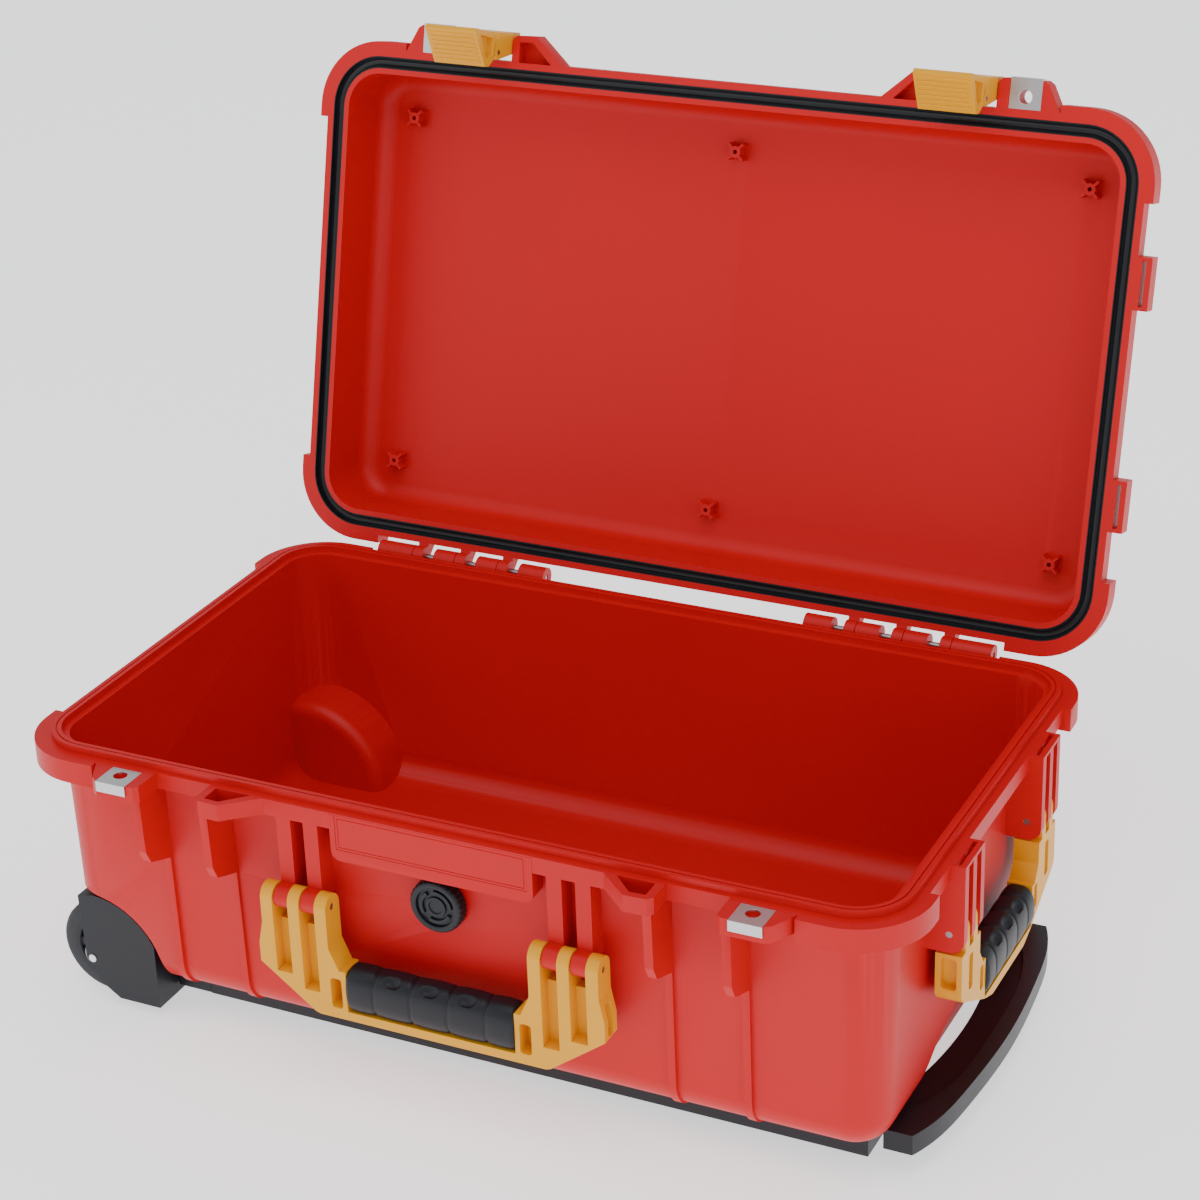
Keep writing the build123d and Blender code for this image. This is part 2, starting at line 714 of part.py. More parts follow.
with BuildPart() as valve_nut:
    with BuildSketch(Plane.XZ.offset(half_width - 1.5)):
        with Locations((valve_x, rim_height - valve_drop)):
            RegularPolygon(radius=14, side_count=6)
            Circle(valve_stem_radius - 0.1, mode=Mode.SUBTRACT)
    extrude(amount=-valve_nut_height)
save(valve_nut.part, "valve_nut")

# ---------------------------------------------------------------- latches
for name, side in sides.items():
    latch_start = side * (latch_x - latch_width / 2)
    with BuildPart() as latch_hook:
        with BuildSketch(lid_section(latch_start)):
            with Locations((latch_pivot_y, latch_pivot_z)):
                Circle(4.4)
            with Locations((-ear_front + 4, latch_pivot_z)):
                Rectangle(8, 8.8)
            with Locations((-ear_front + 1.6, -2.5)):
                Rectangle(3.2, 27)
        extrude(amount=side * latch_width)
        for start in (latch_x - latch_width / 2, latch_x + latch_width / 2 - latch_cheek):
            with BuildSketch(lid_section(side * start)):
                with Locations((lever_pivot_y, lever_pivot_z)):
                    Circle(4.4)
                with Locations((latch_pivot_y, latch_pivot_z)):
                    Circle(4.4)
                Polygon(
                    (-ear_front, latch_pivot_z),
                    (-ear_front, -16),
                    (lever_pivot_y - 2.2, lever_pivot_z - 3.8),
                    (lever_pivot_y + 4.3, lever_pivot_z),
                    (latch_pivot_y + 4.3, latch_pivot_z),
                    align=None,
                )
            extrude(amount=side * latch_cheek)
        with BuildSketch(lid_section(latch_start)):
            with Locations((latch_pivot_y, latch_pivot_z)):
                Circle(latch_pin_radius + pin_clearance)
            with Locations((lever_pivot_y, lever_pivot_z)):
                Circle(latch_pin_radius)
        extrude(amount=side * latch_width, mode=Mode.SUBTRACT)
    save(latch_hook.part, f"latch_{name}_hook")

    lever_width = latch_width - 2 * (latch_cheek + knuckle_clearance)
    # lever: a wedge that flares out at its lower end, on a barrel between the cheeks
    with BuildPart() as latch_lever:
        with BuildSketch(lid_section(side * (latch_x - lever_width / 2))):
            with Locations((lever_pivot_y, lever_pivot_z)):
                Circle(4)
                with Locations((0, -4)):
                    Rectangle(8, 8)
        extrude(amount=side * lever_width)
        with BuildSketch(lid_section(latch_start)):
            Polygon(
                (-ear_front + 0.5, lever_pivot_z - 5.5),
                (-ear_front - 2.5, lever_pivot_z - 30),
                (-ear_front - 0.5, lever_pivot_z - 32),
                (-flange_y + latch_notch + 0.5, lever_pivot_z - 17),
                (-flange_y + latch_notch + 0.5, lever_pivot_z - 12),
                (lever_pivot_y + 4, lever_pivot_z - 5.5),
                align=None,
            )
        extrude(amount=side * latch_width)
        # finger scoop in each end of the wedge
        for start, depth in ((-1, 4), (1, -4)):
            with BuildSketch(lid_section(side * (latch_x + start * latch_width / 2))):
                Polygon(
                    (-ear_front + 3.5, lever_pivot_z - 9),
                    (-ear_front + 1.5, lever_pivot_z - 25),
                    (-flange_y + latch_notch - 3.5, lever_pivot_z - 15.5),
                    (lever_pivot_y + 1, lever_pivot_z - 9),
                    align=None,
                )
            extrude(amount=side * depth, mode=Mode.SUBTRACT)
        with BuildSketch(lid_section(latch_start)):
            with Locations((lever_pivot_y, lever_pivot_z)):
                Circle(latch_pin_radius + pin_clearance)
        extrude(amount=side * latch_width, mode=Mode.SUBTRACT)
    save(latch_lever.part, f"latch_{name}_lever")

    pins = {
        "pin": (latch_pivot_y, latch_pivot_z, latch_pin_half),
        "lever_pin": (lever_pivot_y, lever_pivot_z, latch_width / 2),
    }
    for pin_name, (y, height, half) in pins.items():
        with BuildPart() as latch_pin:
            with BuildSketch(lid_section(side * (latch_x - half))):
                with Locations((y, height)):
                    Circle(latch_pin_radius)
            extrude(amount=side * 2 * half)
        save(latch_pin.part, f"latch_{name}_{pin_name}")

# ---------------------------------------------------------------- front handle
front_inner = front_mount_x - prong_half
front_outer = front_mount_x + prong_half
front_bottom = rim_height - front_pin_drop - handle_drop
front_pin_z = rim_height - front_pin_drop

with BuildPart() as front_handle:
    with BuildSketch(Plane.XZ.offset(-front_pin_y - handle_thickness / 2)):
        for side in sides.values():
            Polygon(
                (side * front_inner, front_pin_z),
                (side * front_outer, front_pin_z),
                (side * front_outer, front_bottom + 52),
                (side * (front_outer + 3), front_bottom + 38),
                (side * (front_outer + 3), front_bottom + 26),
                (side * (grip_half + 21), front_bottom + 1),
                (side * (grip_half + 18), front_bottom),
                (side * (grip_half - 1), front_bottom),
                (side * (grip_half - 1), front_bottom + 5.5),
                (side * grip_half, front_bottom + 5.5),
                (side * grip_half, front_bottom + 31),
                (side * (grip_half + 4), front_bottom + 31),
                (side * front_inner, front_bottom + 44),
                align=None,
            )
        with Locations((0, front_bottom + 2.75)):
            Rectangle(2 * grip_half, 5.5)
    extrude(amount=handle_thickness)
    # core of the grip
    with BuildSketch(Plane.XZ.offset(-front_pin_y - 4)):
        with Locations((0, front_bottom + 15)):
            Rectangle(2 * grip_half + 2, 22)
    extrude(amount=8)
    for mount in (-front_mount_x, front_mount_x):
        with BuildSketch(tub_section(mount - prong_half)):
            with Locations((front_pin_y, -front_pin_drop)):
                Circle(handle_thickness / 2)
        extrude(amount=2 * prong_half)
        # slots that straddle the ribs, running on as shallow pockets
        outwards = 1 if mount > 0 else -1
        for step, pocket in ((-outwards, 38), (outwards, 30)):
            rib_x = mount + step * handle_pitch / 2
            with BuildSketch(tub_section(rib_x - mount_rib / 2 - prong_clearance)):
                with Locations((front_pin_y, -front_pin_drop - 3)):
                    Rectangle(handle_thickness + 2, 24)
                with Locations((front_pin_y - 4, -front_pin_drop - 15)):
                    Rectangle(handle_thickness - 5, pocket, align=(Align.CENTER, Align.MAX))
            extrude(amount=mount_rib + 2 * prong_clearance, mode=Mode.SUBTRACT)
        # windows in the outer flanks
        with BuildSketch(tub_section(mount + outwards * (prong_half - 2))):
            with Locations((front_pin_y, -front_pin_drop - 30.5)):
                RectangleRounded(6.5, 19, 2)
        extrude(amount=outwards * 10, mode=Mode.SUBTRACT)
        with BuildSketch(tub_section(mount - prong_half - 1)):
            with Locations((front_pin_y, -front_pin_drop)):
                Circle(handle_pin_radius + pin_clearance)
        extrude(amount=2 * prong_half + 2, mode=Mode.SUBTRACT)
    # pockets beside the grip
    with BuildSketch(Plane.XZ.offset(-front_pin_y + handle_thickness / 2)):
        for x in (-grip_half - 6.5, grip_half + 6.5):
            with Locations((x, front_bottom + 16)):
                RectangleRounded(7, 19, 2)
    extrude(amount=-10, mode=Mode.SUBTRACT)
save(front_handle.part, "front_handle")

with BuildPart() as front_grip:
    with BuildSketch(tub_section(-grip_half + 0.2)):
        with Locations((front_pin_y, front_bottom + 5.5 - rim_height)):
            Rectangle(16.4, 18.3, align=(Align.CENTER, Align.MIN))
            with Locations((0, 18.3)):
                Circle(8.2)
            Rectangle(8, 20.5, align=(Align.CENTER, Align.MIN), mode=Mode.SUBTRACT)
    extrude(amount=2 * grip_half - 0.4)
save(front_grip.part, "front_handle_grip")

for name, side in sides.items():
    with BuildPart() as front_pin:
        with BuildSketch(tub_section(side * (front_mount_x - prong_half + 0.5))):
            with Locations((front_pin_y, -front_pin_drop)):
                Circle(handle_pin_radius)
        extrude(amount=side * (2 * prong_half - 1))
    save(front_pin.part, f"front_handle_pin_{name}")

# ---------------------------------------------------------------- side handle
side_pin_z = rim_height - side_pin_drop
side_bottom = side_pin_z - handle_drop + 1
side_outer = side_mount_y + 1.5 * side_rib + side_slot - 0.5
side_prong = side_slot - 2 * prong_clearance
side_inner = side_mount_y - side_rib / 2 - side_slot + prong_clearance - 5

with BuildPart() as side_handle:
    with BuildSketch(Plane.YZ.offset(side_pin_x - handle_thickness / 2)):
        for side in sides.values():
            Polygon(
                (side * side_inner, side_bottom + 53.5),
                (side * side_outer, side_bottom + 53.5),
                (side * side_outer, side_bottom + 28),
                (side * (side_outer - 3), side_bottom + 24),
                (side * side_grip_half, side_bottom + 5),
                (side * (side_grip_half - 12), side_bottom + 0.5),
                (side * (side_grip_half - 14), side_bottom),
                (side * (side_grip_half - 14), side_bottom + 6),
                (side * side_grip_half, side_bottom + 6),
                (side * side_grip_half, side_bottom + 31),
                (side * (side_grip_half + 4), side_bottom + 31),
                (side * side_inner, side_bottom + 40),
                align=None,
            )
        with Locations((0, side_bottom + 3)):
            Rectangle(2 * side_grip_half - 28, 6)
    extrude(amount=handle_thickness)
    # core of the grip
    with BuildSketch(Plane.YZ.offset(side_pin_x - 4)):
        with Locations((0, side_bottom + 15.5)):
            Rectangle(2 * side_grip_half + 2, 21)
    extrude(amount=8)
    for mount in (-side_mount_y, side_mount_y):
        for step in (-0.5, 0.5):
            y = mount + step * (side_rib + side_slot)
            with BuildSketch(Plane.XZ.offset(-y - side_prong / 2)):
                with Locations((side_pin_x, side_pin_z)):
                    Circle(handle_thickness / 2)
                    Rectangle(handle_thickness, 16, align=(Align.CENTER, Align.MAX))
            extrude(amount=side_prong)
        # window in the outer flank, pocket beside the grip, bore of the pin
        outwards = 1 if mount > 0 else -1
        with BuildSketch(Plane.XZ.offset(-outwards * (side_outer + 1))):
            with Locations((side_pin_x, side_pin_z - 24.5)):
                RectangleRounded(9, 19, 2)
        extrude(amount=outwards * 6, mode=Mode.SUBTRACT)
        with BuildSketch(Plane.YZ.offset(side_pin_x + handle_thickness / 2)):
            with Locations((outwards * (side_grip_half + 6), side_bottom + 22)):
                RectangleRounded(5, 15, 2)
            with Locations((mount, side_bottom + 37)):
                RectangleRounded(6, 22, 2)
        extrude(amount=-10, mode=Mode.SUBTRACT)
        with BuildSketch(Plane.XZ.offset(-mount - 20)):
            with Locations((side_pin_x, side_pin_z)):
                Circle(handle_pin_radius + pin_clearance)
        extrude(amount=40, mode=Mode.SUBTRACT)
save(side_handle.part, "side_handle")

with BuildPart() as side_grip:
    with BuildSketch(Plane.XZ.offset(-side_grip_half + 0.2)):
        with Locations((side_pin_x, side_bottom + 6)):
            Rectangle(16.4, 17, align=(Align.CENTER, Align.MIN))
            with Locations((0, 17)):
                Circle(8.2)
            Rectangle(8, 20, align=(Align.CENTER, Align.MIN), mode=Mode.SUBTRACT)
    extrude(amount=2 * side_grip_half - 0.4)
save(side_grip.part, "side_handle_grip")

for name, side in {"front": -1, "back": 1}.items():
    with BuildPart() as side_pin:
        with BuildSketch(Plane.XZ.offset(-side * side_mount_y - 15)):
            with Locations((side_pin_x, side_pin_z)):
                Circle(handle_pin_radius)
        extrude(amount=30)
    save(side_pin.part, f"side_handle_pin_{name}")

# ---------------------------------------------------------------- wheels
hx, hz = well_centre
for name, side in {"front": -1, "back": 1}.items():
    inner_face = Plane.XZ.offset(-side * (wheel_y - wheel_width / 2))
    rings = {
        "tyre": (wheel_radius, hub_radius),
        "hub": (hub_radius, bearing_radius),
        "bushing": (bearing_radius, axle_radius + running_clearance),
    }
    for ring_name, (outer, inner) in rings.items():
        with BuildPart() as ring:
            with BuildSketch(inner_face):
                with Locations((wheel_x, wheel_z)):
                    Circle(outer)
                    Circle(inner, mode=Mode.SUBTRACT)
            extrude(amount=-side * wheel_width)
            if ring_name == "tyre":
                fillet(ring.edges().group_by(SortBy.LENGTH)[-1], radius=3)
            if ring_name == "hub":
                with BuildSketch(Plane.XZ.offset(-side * (wheel_y + wheel_width / 2))):
                    with Locations((wheel_x, wheel_z)):
                        Circle(hub_radius - 3)
                        Circle(bearing_radius + 2.5, mode=Mode.SUBTRACT)
                extrude(amount=side * 4, mode=Mode.SUBTRACT)
        save(ring.part, f"wheel_{name}_{ring_name}")

    with BuildPart() as axle:
        with BuildSketch(Plane.XZ.offset(-side * well_face)):
            with Locations((wheel_x, wheel_z)):
                Circle(axle_radius)
        extrude(amount=-side * (housing_face - housing_wall - well_face))
        with BuildSketch(Plane.XZ.offset(-side * (housing_face - housing_wall))):
            with Locations((wheel_x, wheel_z)):
                Circle(axle_tip_radius)
        extrude(amount=-side * (housing_wall + 0.6))
    save(axle.part, f"wheel_{name}_axle")

    with BuildPart() as spacers:
        inner_gap = wheel_y - wheel_width / 2 - well_face - knuckle_clearance
        outer_gap = housing_face - housing_wall - wheel_y - wheel_width / 2 - knuckle_clearance
        for start, gap in ((well_face, inner_gap), (housing_face - housing_wall - outer_gap, outer_gap)):
            with BuildSketch(Plane.XZ.offset(-side * start)):
                with Locations((wheel_x, wheel_z)):
                    Circle(bearing_radius)
                    Circle(axle_radius, mode=Mode.SUBTRACT)
            extrude(amount=-side * gap)
    save(spacers.part, f"wheel_{name}_spacers")

    # housing: a shell over the outer face, the top and the tray side of the wheel
    with BuildPart() as housing:
        for inset, mode in ((0, Mode.ADD), (housing_wall, Mode.SUBTRACT)):
            with BuildSketch(Plane.XZ.offset(-side * (housing_face - inset))):
                with BuildLine():
                    Polyline((hx - 9.3 + inset, hz + 43 - inset), (hx + 1.7, hz + 45.3 - inset))
                    ThreePointArc(
                        (hx + 1.7, hz + 45.3 - inset),
                        (hx + 28 - 0.62 * inset, hz + 35.6 - 0.79 * inset),
                        (hx + 41.1 - inset, hz + 19.1 - 0.4 * inset),
                    )
                    Polyline(
                        (hx + 41.1 - inset, hz + 19.1 - 0.4 * inset),
                        (hx + 41.1 - inset, rim_height - housing_drop + inset),
                        (hx + 13.2, rim_height - housing_drop + inset),
                        (hx + 1 + 0.7 * inset, rim_height - housing_drop + 8.4 + 0.7 * inset),
                        (hx - 7.7 + inset, hz + 1),
                        (hx - 9.3 + inset, hz + 43 - inset),
                    )
                make_face()
            extrude(amount=side * (housing_face - inset - well_face), mode=mode)
        with BuildSketch(Plane.XZ.offset(-side * well_face)):
            with Locations((wheel_x, wheel_z)):
                Circle(wheel_radius + 3)
        extrude(amount=-side * (housing_face - housing_wall - well_face), mode=Mode.SUBTRACT)
        with BuildSketch(Plane.XZ.offset(-side * housing_face)):
            with Locations((wheel_x, wheel_z)):
                Circle(axle_tip_radius)
        extrude(amount=side * 10, mode=Mode.SUBTRACT)
    save(housing.part, f"wheel_{name}_housing")

# ---------------------------------------------------------------- undercarriage
tray_plane = Plane.XY.offset(tub_floor)

with BuildPart() as strut_frame:
    with BuildSketch(tray_plane):
        Polygon(
            (strut_x, -strut_half_width),
            (strut_x + strut_step, -strut_half_width),
            (strut_x + strut_step, -tray_half_width),
            (tray_seam_x, -tray_half_width),
            (tray_seam_x, tray_half_width),
            (strut_x + strut_step, tray_half_width),
            (strut_x + strut_step, strut_half_width),
            (strut_x, strut_half_width),
            align=None,
        )
    extrude(amount=-strut_thickness)
    with BuildSketch(tray_plane.offset(-strut_thickness)):
        with Locations((strut_x + 8, 0)):
            Rectangle(8, 1.3 * strut_half_width)
    extrude(amount=strut_thickness - 3, mode=Mode.SUBTRACT)
    with BuildSketch(tray_plane):
        for y in (-channel_y, channel_y):
            with Locations(((tray_seam_x + tube_start_x) / 2 - 2.5, y)):
                Rectangle(tray_seam_x - tube_start_x + 5, channel_width)
    extrude(amount=-outer_tube - 3)
    with BuildSketch(tray_plane):
        for y in (-channel_y, channel_y):
            with Locations(((tray_seam_x + tube_start_x) / 2, y)):
                Rectangle(tray_seam_x - tube_start_x, outer_tube)
    extrude(amount=-outer_tube, mode=Mode.SUBTRACT)
save(strut_frame.part, "undercarriage_frame")

with BuildPart() as tray:
    with BuildSketch(tray_plane):
        with Locations(((tray_seam_x + tray_end_x) / 2, 0)):
            Rectangle(tray_end_x - tray_seam_x, 2 * tray_half_width)
        with Locations((tray_end_x, 0)):
            Rectangle(44, 104, mode=Mode.SUBTRACT)
    extrude(amount=-tray_thickness)
    # runners that hold the tubes and carry the case
    for y in (-channel_y, channel_y):
        with BuildSketch(Plane.XZ.offset(-y - channel_width / 2)):
            Polygon(
                (tray_seam_x, tub_floor - 1),
                (tray_seam_x, tub_floor - outer_tube - 3),
                (runner_start_x - 8, tub_floor - outer_tube - 3),
                (runner_start_x, 0),
                (runner_end_x, 0),
                (runner_end_x + 12, tub_floor - outer_tube - 3),
                (outer_tube_end_x + 1, tub_floor - outer_tube - 3),
                (outer_tube_end_x + 1, tub_floor - 1),
                align=None,
            )
        extrude(amount=channel_width)
    # a cross foot between the runners, under the middle of the case
    with BuildSketch(Plane.XY):
        Rectangle(40, 2 * channel_y)
    extrude(amount=tub_floor - tray_thickness + 1)
    with BuildSketch(tray_plane):
        for y in (-channel_y, channel_y):
            with Locations((tray_seam_x, y)):
                Rectangle(tray_end_x - tray_seam_x, outer_tube, align=(Align.MIN, Align.CENTER))
    extrude(amount=-outer_tube, mode=Mode.SUBTRACT)
    # screw holes with counterbores
    with BuildSketch(tray_plane):
        with Locations(*screw_places):
            Circle(screw_radius)
    extrude(amount=-tray_thickness, mode=Mode.SUBTRACT)
    with BuildSketch(tray_plane.offset(-tray_thickness)):
        with Locations(*screw_places):
            Circle(screw_head_radius)
    extrude(amount=screw_head + 1, mode=Mode.SUBTRACT)
save(tray.part, "undercarriage_tray")

with BuildPart() as tray_screws:
    with BuildSketch(tray_plane.offset(-tray_thickness + 1)):
        with Locations(*screw_places):
            Circle(screw_head_radius)
    extrude(amount=screw_head)
    with BuildSketch(tray_plane.offset(-tray_thickness + 1)):
        with Locations(*screw_places):
            Circle(screw_radius)
    extrude(amount=tray_thickness - 1 + wall - 0.5)
    with BuildSketch(tray_plane.offset(-tray_thickness + 1)):
        for place in screw_places:
            with Locations(place):
                Rectangle(4.6, 1)
                Rectangle(1, 4.6)
    extrude(amount=screw_head / 2, mode=Mode.SUBTRACT)
save(tray_screws.part, "tray_screws")

# ---------------------------------------------------------------- pull handle
for name, side in {"front": -1, "back": 1}.items():
    with BuildPart() as outer_rail:
        with BuildSketch(Plane(origin=(tube_start_x, side * channel_y, tube_z), z_dir=(1, 0, 0))):
            Rectangle(outer_tube, outer_tube)
            Rectangle(outer_tube - 2 * tube_wall, outer_tube - 2 * tube_wall, mode=Mode.SUBTRACT)
        extrude(amount=outer_tube_end_x - tube_start_x)
    save(outer_rail.part, f"outer_tube_{name}")

    with BuildPart() as inner_rail:
        with BuildSketch(Plane(origin=(tube_start_x + 8, side * channel_y, tube_z), z_dir=(1, 0, 0))):
            Rectangle(inner_tube, inner_tube)
            Rectangle(inner_tube - 2 * tube_wall, inner_tube - 2 * tube_wall, mode=Mode.SUBTRACT)
        extrude(amount=pull_inner_x + 10 - tube_start_x - 8)
    save(inner_rail.part, f"inner_tube_{name}")

pull_top = rim_height - pull_top_drop
with BuildPart() as pull_handle:
    with BuildSketch(Plane.XY.offset(pull_top - pull_thickness)) as bow:
        with BuildLine():
            Line((pull_inner_x, -pull_half_width), (pull_inner_x, -60))
            Spline((pull_inner_x, -60), (pull_inner_x + 6.5, 0), (pull_inner_x, 60))
            Line((pull_inner_x, 60), (pull_inner_x, pull_half_width))
            Line((pull_inner_x, pull_half_width), (pull_end_x - 2, pull_half_width))
            Spline(
                (pull_end_x - 2, pull_half_width),
                (pull_end_x + 4.5, 97),
                (pull_reach - 3.5, 60),
                (pull_reach, 0),
                (pull_reach - 3.5, -60),
                (pull_end_x + 4.5, -97),
                (pull_end_x - 2, -pull_half_width),
            )
            Line((pull_end_x - 2, -pull_half_width), (pull_inner_x, -pull_half_width))
        make_face()
    extrude(amount=pull_thickness)
    # shelf: the inner part of the top lies lower than the roll along the outer edge
    with BuildSketch(Plane.XY.offset(pull_top)):
        with BuildLine():
            Line((pull_inner_x - 2, -shelf_half), (pull_inner_x - 2, shelf_half))
            Line((pull_inner_x - 2, shelf_half), (pull_end_x - 8, shelf_half))
            Spline(
                (pull_end_x - 8, shelf_half),
                (pull_reach - 11.5, 50),
                (pull_reach - 9.5, 0),
                (pull_reach - 11.5, -50),
                (pull_end_x - 8, -shelf_half),
            )
            Line((pull_end_x - 8, -shelf_half), (pull_inner_x - 2, -shelf_half))
        make_face()
    extrude(amount=-shelf_depth, mode=Mode.SUBTRACT)
    # sockets of the inner tubes
    with BuildSketch(Plane.XY.offset(tube_z - inner_tube / 2 - 2.5)):
        for y in (-channel_y, channel_y):
            with Locations((pull_inner_x, y)):
                Rectangle(15, 2 * socket_half, align=(Align.MIN, Align.CENTER))
    extrude(amount=inner_tube / 2 + 5)
    with BuildSketch(Plane(origin=(pull_inner_x, 0, tube_z), z_dir=(1, 0, 0))):
        with Locations((0, -channel_y), (0, channel_y)):
            Rectangle(inner_tube, inner_tube)
    extrude(amount=10, mode=Mode.SUBTRACT)
    # pocket of the trigger, in the underside
    with BuildSketch(Plane.XY.offset(pull_top - pull_thickness)):
        with Locations((pull_reach - 12, 0)):
            Rectangle(12, 2 * trigger_half)
    extrude(amount=trigger_travel + 5, mode=Mode.SUBTRACT)
save(pull_handle.part, "pull_handle")

with BuildPart() as trigger:
    with BuildSketch(Plane.XY.offset(pull_top - pull_thickness - trigger_travel - 0.5)):
        with Locations((pull_reach - 12, 0)):
            RectangleRounded(12 - 2 * knuckle_clearance, 2 * (trigger_half - knuckle_clearance), 3)
    extrude(amount=7)
save(trigger.part, "pull_handle_trigger")
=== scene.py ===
# %% [markdown]
# ## A rolling hard case, standing open
# The case was designed as 52 named solids that hinge, slide and roll. This file dresses that
# frame: it softens the moulded edges, models the pieces whose surface has more detail than a
# solid can hold, and gives every piece a finish made of nodes. Nothing here moves a solid.

# %% Load the frame
import json
import math

import bmesh
import bpy
from mathutils import Matrix, Vector


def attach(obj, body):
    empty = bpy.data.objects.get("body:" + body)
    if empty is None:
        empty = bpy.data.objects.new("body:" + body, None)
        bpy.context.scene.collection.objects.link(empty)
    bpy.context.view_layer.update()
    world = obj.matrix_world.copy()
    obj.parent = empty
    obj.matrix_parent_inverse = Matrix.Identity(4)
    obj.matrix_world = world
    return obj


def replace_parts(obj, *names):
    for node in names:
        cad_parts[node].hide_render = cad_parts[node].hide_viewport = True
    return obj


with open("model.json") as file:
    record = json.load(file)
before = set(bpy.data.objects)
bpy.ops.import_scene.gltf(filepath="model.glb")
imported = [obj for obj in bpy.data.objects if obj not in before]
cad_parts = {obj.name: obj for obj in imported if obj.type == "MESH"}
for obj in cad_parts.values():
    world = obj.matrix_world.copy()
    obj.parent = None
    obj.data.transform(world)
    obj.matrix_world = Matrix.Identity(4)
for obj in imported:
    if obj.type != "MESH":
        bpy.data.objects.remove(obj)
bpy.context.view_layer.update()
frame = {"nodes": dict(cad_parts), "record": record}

MM = 0.001
nodes = frame["nodes"]

# %% [markdown]
# ## Shader maths in plain Python
# Every finish below is a small formula: a base colour, a little unevenness, a fine grain. Writing
# it as Python keeps it readable, so one class wraps a socket and turns + and * into Math nodes,
# and one method makes any other node from its settings and inputs.

# %% Sockets that can be added and multiplied
class Value:
    """An output socket that adds Math nodes when it is used in a formula."""

    def __init__(self, finish, socket):
        self.finish = finish
        self.socket = socket

    def math(self, operation, *others):
        return self.finish.node("ShaderNodeMath", {"operation": operation}, *others)

    def __add__(self, other):
        return self.math("ADD", self, other)

    def __mul__(self, other):
        return self.math("MULTIPLY", self, other)


class Finish:
    """A material with one Principled shader, fed by formulas."""

    def __init__(self, name, **constants):
        self.material = bpy.data.materials.new(name)
        self.material.use_nodes = True
        self.tree = self.material.node_tree
        self.shader = self.tree.nodes["Principled BSDF"]
        for socket, value in constants.items():
            self.shader.inputs[socket.replace("_", " ")].default_value = value
        self.place = self.node("ShaderNodeTexCoord", {}, output="Object")

    def node(self, kind, settings, *values, output=None, **named):
        """Adds a node; values fill the inputs in use in order, named ones by name."""
        made = self.tree.nodes.new(kind)
        for key, value in settings.items():
            setattr(made, key, value)
        in_use = [socket for socket in made.inputs if socket.enabled]
        links = list(zip(in_use, values))
        links += [(made.inputs[key.replace("_", " ")], value) for key, value in named.items()]
        for socket, value in links:
            if isinstance(value, Value):
                self.tree.links.new(value.socket, socket)
            else:
                socket.default_value = value
        first_output = next(socket for socket in made.outputs if socket.enabled)
        return Value(self, made.outputs[output] if output else first_output)

    def stretch(self, *scale):
        """The piece's own coordinates, scaled along each axis."""
        return self.node("ShaderNodeMapping", {}, Vector=self.place, Scale=scale)

    def noise(self, scale, detail=2.0, roughness=0.5, place=None):
        """Noise from 0 to 1; scale is in waves per metre."""
        return self.node(
            "ShaderNodeTexNoise",
            {},
            Vector=place or self.place,
            Scale=scale,
            Detail=detail,
            Roughness=roughness,
        )

    def blend(self, amount, first, second):
        """Mixes two colours."""
        return self.node("ShaderNodeMix", {"data_type": "RGBA"}, amount, (*first, 1), (*second, 1))

    def bump(self, height, distance, strength=1.0, under=None):
        """A bumped normal; distance is how deep the height goes, in metres."""
        normal = {"Normal": under} if under else {}
        return self.node(
            "ShaderNodeBump", {}, Height=height, Distance=distance, Strength=strength, **normal
        )

    def feed(self, **sockets):
        """Links formulas to the shader's sockets."""
        for name, value in sockets.items():
            self.tree.links.new(value.socket, self.shader.inputs[name.replace("_", " ")])
        return self.material


print("shader helper ready")

# %% [markdown]
# ## The moulded plastics
# The shell is polypropylene from a lightly sparked mould: a satin skin with a fine grain under a
# millimetre across, slow changes of gloss where the plastic cooled unevenly, and the odd scuff.
# The handles and latches are the same plastic in yellow, and the running gear is a black nylon.

# %% Moulded plastic in any colour
def moulded(name, colour, tint, rough, grain, grain_depth, **constants):
    """Satin plastic: colour drifts towards tint, gloss drifts, and a fine grain dents it."""
    finish = Finish(name, **constants)
    cloud = finish.noise(9, detail=3)
    fine = finish.noise(grain, detail=1.5)
    scuff = finish.noise(70, detail=5, roughness=0.7, place=finish.stretch(1, 1, 3.5))
    scuff_mask = finish.node("ShaderNodeMapRange", {}, scuff, 0.62, 0.8, 0.0, 1.0)
    grain_mix = fine * 0.35 + cloud * 0.65
    return finish.feed(
        Base_Color=finish.blend(grain_mix, colour, tint),
        Roughness=cloud * 0.16 + fine * 0.1 + scuff_mask * 0.08 + (rough - 0.13),
        Normal=finish.bump(fine, grain_depth, 0.6, under=finish.bump(cloud, 0.0004, 0.25)),
    )


shell_red = moulded(
    "shell red", (0.54, 0.001, 0.004), (0.62, 0.002, 0.006), 0.46, 1300, 0.00012,
    Specular_IOR_Level=0.28,
)
handle_yellow = moulded(
    "handle yellow", (0.78, 0.345, 0.002), (0.86, 0.40, 0.005), 0.4, 1500, 0.00008,
    Specular_IOR_Level=0.34,
)
trim_black = moulded(
    "trim black", (0.005, 0.006, 0.009), (0.010, 0.012, 0.017), 0.40, 1100, 0.00016,
    Specular_IOR_Level=0.34,
)
grip_black = moulded(
    "grip black", (0.005, 0.006, 0.009), (0.010, 0.012, 0.017), 0.44, 1800, 0.00008,
    Specular_IOR_Level=0.32,
)
bearing_grey = moulded(
    "bearing grey", (0.2, 0.21, 0.22), (0.26, 0.27, 0.28), 0.45, 1600, 0.00006,
)
print("five plastics ready")

